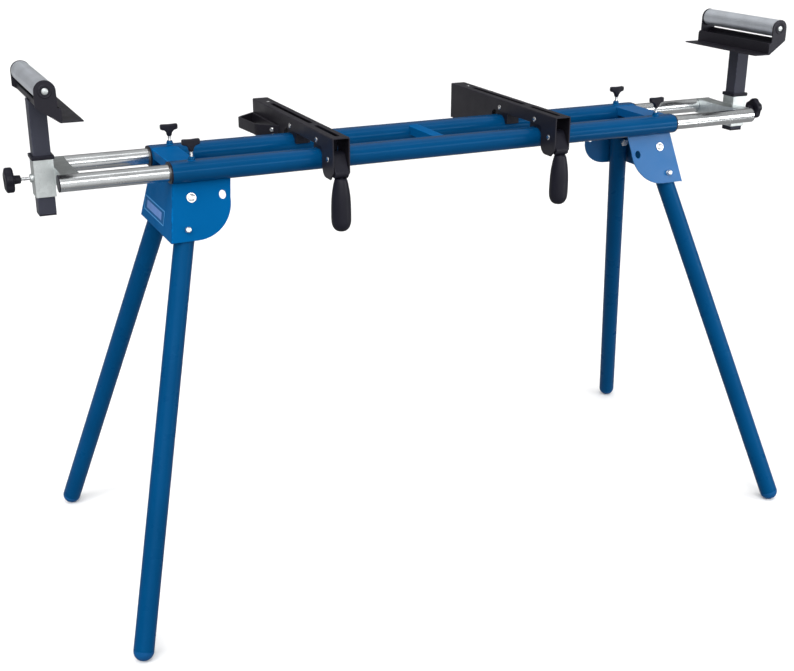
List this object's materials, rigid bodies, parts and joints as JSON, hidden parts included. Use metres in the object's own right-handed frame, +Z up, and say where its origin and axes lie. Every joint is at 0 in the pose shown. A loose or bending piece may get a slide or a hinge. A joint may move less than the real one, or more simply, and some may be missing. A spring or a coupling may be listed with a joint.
{
  "type": "folding saw stand",
  "caption": "Folding steel work stand for a bench saw: twin-tube beam on splayed folding legs, pull-out roller supports at both ends and clamp-on machine holders with drop levers.",
  "frame": {"origin": "on the floor, under the middle of the stand", "axes": "+X along the beam, +Y to the back, +Z up"},
  "size_m": [1.645, 0.6716, 1.0188],
  "materials": {
    "blue_paint": "satin powder coat",
    "blue_plastic": "moulded",
    "bright_steel": "bright zinc plated",
    "zinc_steel": "drawn and zinc plated",
    "black_paint": "satin powder coat",
    "black_plastic": "fine moulded grain",
    "roller_metal": "satin"
  },
  "bodies": {
    "beam": {"beam_tube_front": "blue_paint", "beam_tube_rear": "blue_paint", "tube_guides": "black_plastic", "clamp_bosses": "blue_paint", "cross_plate_left": "blue_paint", "cross_plate_centre": "blue_paint", "cross_plate_right": "blue_paint", "leg_bracket_left": "blue_paint", "leg_bracket_right": "blue_paint", "leg_pivot_bolts": "bright_steel"},
    "leg_front_left": {"leg_front_left": "blue_paint", "foot_front_left": "blue_plastic"},
    "lock_pin_front_left": {"lock_pin_front_left": "bright_steel"},
    "wing_screw_front_left": {"wing_screw_front_left": "black_plastic"},
    "leg_front_right": {"leg_front_right": "blue_paint", "foot_front_right": "blue_plastic"},
    "lock_pin_front_right": {"lock_pin_front_right": "bright_steel"},
    "wing_screw_front_right": {"wing_screw_front_right": "black_plastic"},
    "leg_rear_left": {"leg_rear_left": "blue_paint", "foot_rear_left": "blue_plastic"},
    "lock_pin_rear_left": {"lock_pin_rear_left": "bright_steel"},
    "wing_screw_rear_left": {"wing_screw_rear_left": "black_plastic"},
    "leg_rear_right": {"leg_rear_right": "blue_paint", "foot_rear_right": "blue_plastic"},
    "lock_pin_rear_right": {"lock_pin_rear_right": "bright_steel"},
    "wing_screw_rear_right": {"wing_screw_rear_right": "black_plastic"},
    "extension_left": {"rods_left": "zinc_steel", "rod_caps_left": "black_plastic", "crossbar_left": "zinc_steel", "sleeve_left": "zinc_steel", "collar_left": "black_plastic"},
    "post_left": {"post_left": "black_paint", "post_cap_left": "black_plastic", "roller_bracket_left": "black_paint", "axle_left": "bright_steel"},
    "roller_left": {"roller_left": "roller_metal"},
    "post_knob_left": {"post_knob_left": "black_plastic"},
    "holder_left": {"holder_left": "black_paint", "holder_pads_left": "black_plastic", "holder_pins_left": "bright_steel", "holder_loop": "black_paint"},
    "lever_left": {"lever_left": "black_plastic", "grip_left": "black_plastic"},
    "extension_right": {"rods_right": "zinc_steel", "rod_caps_right": "black_plastic", "crossbar_right": "zinc_steel", "sleeve_right": "zinc_steel", "collar_right": "black_plastic"},
    "post_right": {"post_right": "black_paint", "post_cap_right": "black_plastic", "roller_bracket_right": "black_paint", "axle_right": "bright_steel"},
    "roller_right": {"roller_right": "roller_metal"},
    "post_knob_right": {"post_knob_right": "black_plastic"},
    "holder_right": {"holder_right": "black_paint", "holder_pads_right": "black_plastic", "holder_pins_right": "bright_steel"},
    "lever_right": {"lever_right": "black_plastic", "grip_right": "black_plastic"}
  },
  "joints": [
    {"name": "leg_front_left_fold", "type": "hinge", "parent": "beam", "child": "leg_front_left", "pos_m": [-0.508, -0.0636, 0.75958], "axis": [0, -0.9461, 0.3239], "range_deg": [0, 104.2]},
    {"name": "lock_pin_front_left_pull", "type": "slide", "parent": "beam", "child": "lock_pin_front_left", "axis": [0, -0.9461, 0.3239], "range_m": [0, 0.012], "stiffness_N_per_m": 500, "springref_m": -0.006},
    {"name": "wing_screw_front_left_turn", "type": "hinge", "parent": "beam", "child": "wing_screw_front_left", "pos_m": [-0.5, -0.072, 0.83118], "axis": [0, 0, 1], "range_deg": [0, 270]},
    {"name": "leg_front_right_fold", "type": "hinge", "parent": "beam", "child": "leg_front_right", "pos_m": [0.508, -0.0636, 0.75958], "axis": [0, 0.9461, -0.3239], "range_deg": [0, 92.7]},
    {"name": "lock_pin_front_right_pull", "type": "slide", "parent": "beam", "child": "lock_pin_front_right", "axis": [0, -0.9461, 0.3239], "range_m": [0, 0.012], "stiffness_N_per_m": 500, "springref_m": -0.006},
    {"name": "wing_screw_front_right_turn", "type": "hinge", "parent": "beam", "child": "wing_screw_front_right", "pos_m": [0.5, -0.072, 0.83118], "axis": [0, 0, 1], "range_deg": [0, 270]},
    {"name": "leg_rear_left_fold", "type": "hinge", "parent": "beam", "child": "leg_rear_left", "pos_m": [-0.508, 0.0636, 0.75958], "axis": [0, -0.9461, -0.3239], "range_deg": [0, 104.2]},
    {"name": "lock_pin_rear_left_pull", "type": "slide", "parent": "beam", "child": "lock_pin_rear_left", "axis": [0, 0.9461, 0.3239], "range_m": [0, 0.012], "stiffness_N_per_m": 500, "springref_m": -0.006},
    {"name": "wing_screw_rear_left_turn", "type": "hinge", "parent": "beam", "child": "wing_screw_rear_left", "pos_m": [-0.5, 0.072, 0.83118], "axis": [0, 0, 1], "range_deg": [0, 270]},
    {"name": "leg_rear_right_fold", "type": "hinge", "parent": "beam", "child": "leg_rear_right", "pos_m": [0.508, 0.0636, 0.75958], "axis": [0, 0.9461, 0.3239], "range_deg": [0, 92.7]},
    {"name": "lock_pin_rear_right_pull", "type": "slide", "parent": "beam", "child": "lock_pin_rear_right", "axis": [0, 0.9461, 0.3239], "range_m": [0, 0.012], "stiffness_N_per_m": 500, "springref_m": -0.006},
    {"name": "wing_screw_rear_right_turn", "type": "hinge", "parent": "beam", "child": "wing_screw_rear_right", "pos_m": [0.5, 0.072, 0.83118], "axis": [0, 0, 1], "range_deg": [0, 270]},
    {"name": "extension_left_slide", "type": "slide", "parent": "beam", "child": "extension_left", "axis": [-1, 0, 0], "range_m": [-0.155, 0.04]},
    {"name": "post_left_lift", "type": "slide", "parent": "extension_left", "child": "post_left", "axis": [0, 0, 1], "range_m": [-0.072, 0.055]},
    {"name": "roller_left_spin", "type": "hinge", "parent": "post_left", "child": "roller_left", "pos_m": [-0.749, 0, 0.97678], "axis": [0, 1, 0], "continuous": true},
    {"name": "post_knob_left_turn", "type": "hinge", "parent": "extension_left", "child": "post_knob_left", "pos_m": [-0.767, 0, 0.80918], "axis": [-1, 0, 0], "range_deg": [0, 270]},
    {"name": "holder_left_slide", "type": "slide", "parent": "beam", "child": "holder_left", "axis": [1, 0, 0], "range_m": [-0.165, 0.2]},
    {"name": "lever_left_swing", "type": "hinge", "parent": "holder_left", "child": "lever_left", "pos_m": [-0.246, -0.127, 0.82118], "axis": [-1, 0, 0], "range_deg": [0, 90]},
    {"name": "extension_right_slide", "type": "slide", "parent": "beam", "child": "extension_right", "axis": [1, 0, 0], "range_m": [-0.175, 0.02]},
    {"name": "post_right_lift", "type": "slide", "parent": "extension_right", "child": "post_right", "axis": [0, 0, 1], "range_m": [-0.096, 0.031]},
    {"name": "roller_right_spin", "type": "hinge", "parent": "post_right", "child": "roller_right", "pos_m": [0.769, 0, 1.00078], "axis": [0, 1, 0], "continuous": true},
    {"name": "post_knob_right_turn", "type": "hinge", "parent": "extension_right", "child": "post_knob_right", "pos_m": [0.787, 0, 0.80918], "axis": [1, 0, 0], "range_deg": [0, 270]},
    {"name": "holder_right_slide", "type": "slide", "parent": "beam", "child": "holder_right", "axis": [1, 0, 0], "range_m": [-0.19, 0.165]},
    {"name": "lever_right_swing", "type": "hinge", "parent": "holder_right", "child": "lever_right", "pos_m": [0.221, -0.127, 0.82118], "axis": [-1, 0, 0], "range_deg": [0, 90]}
  ]
}
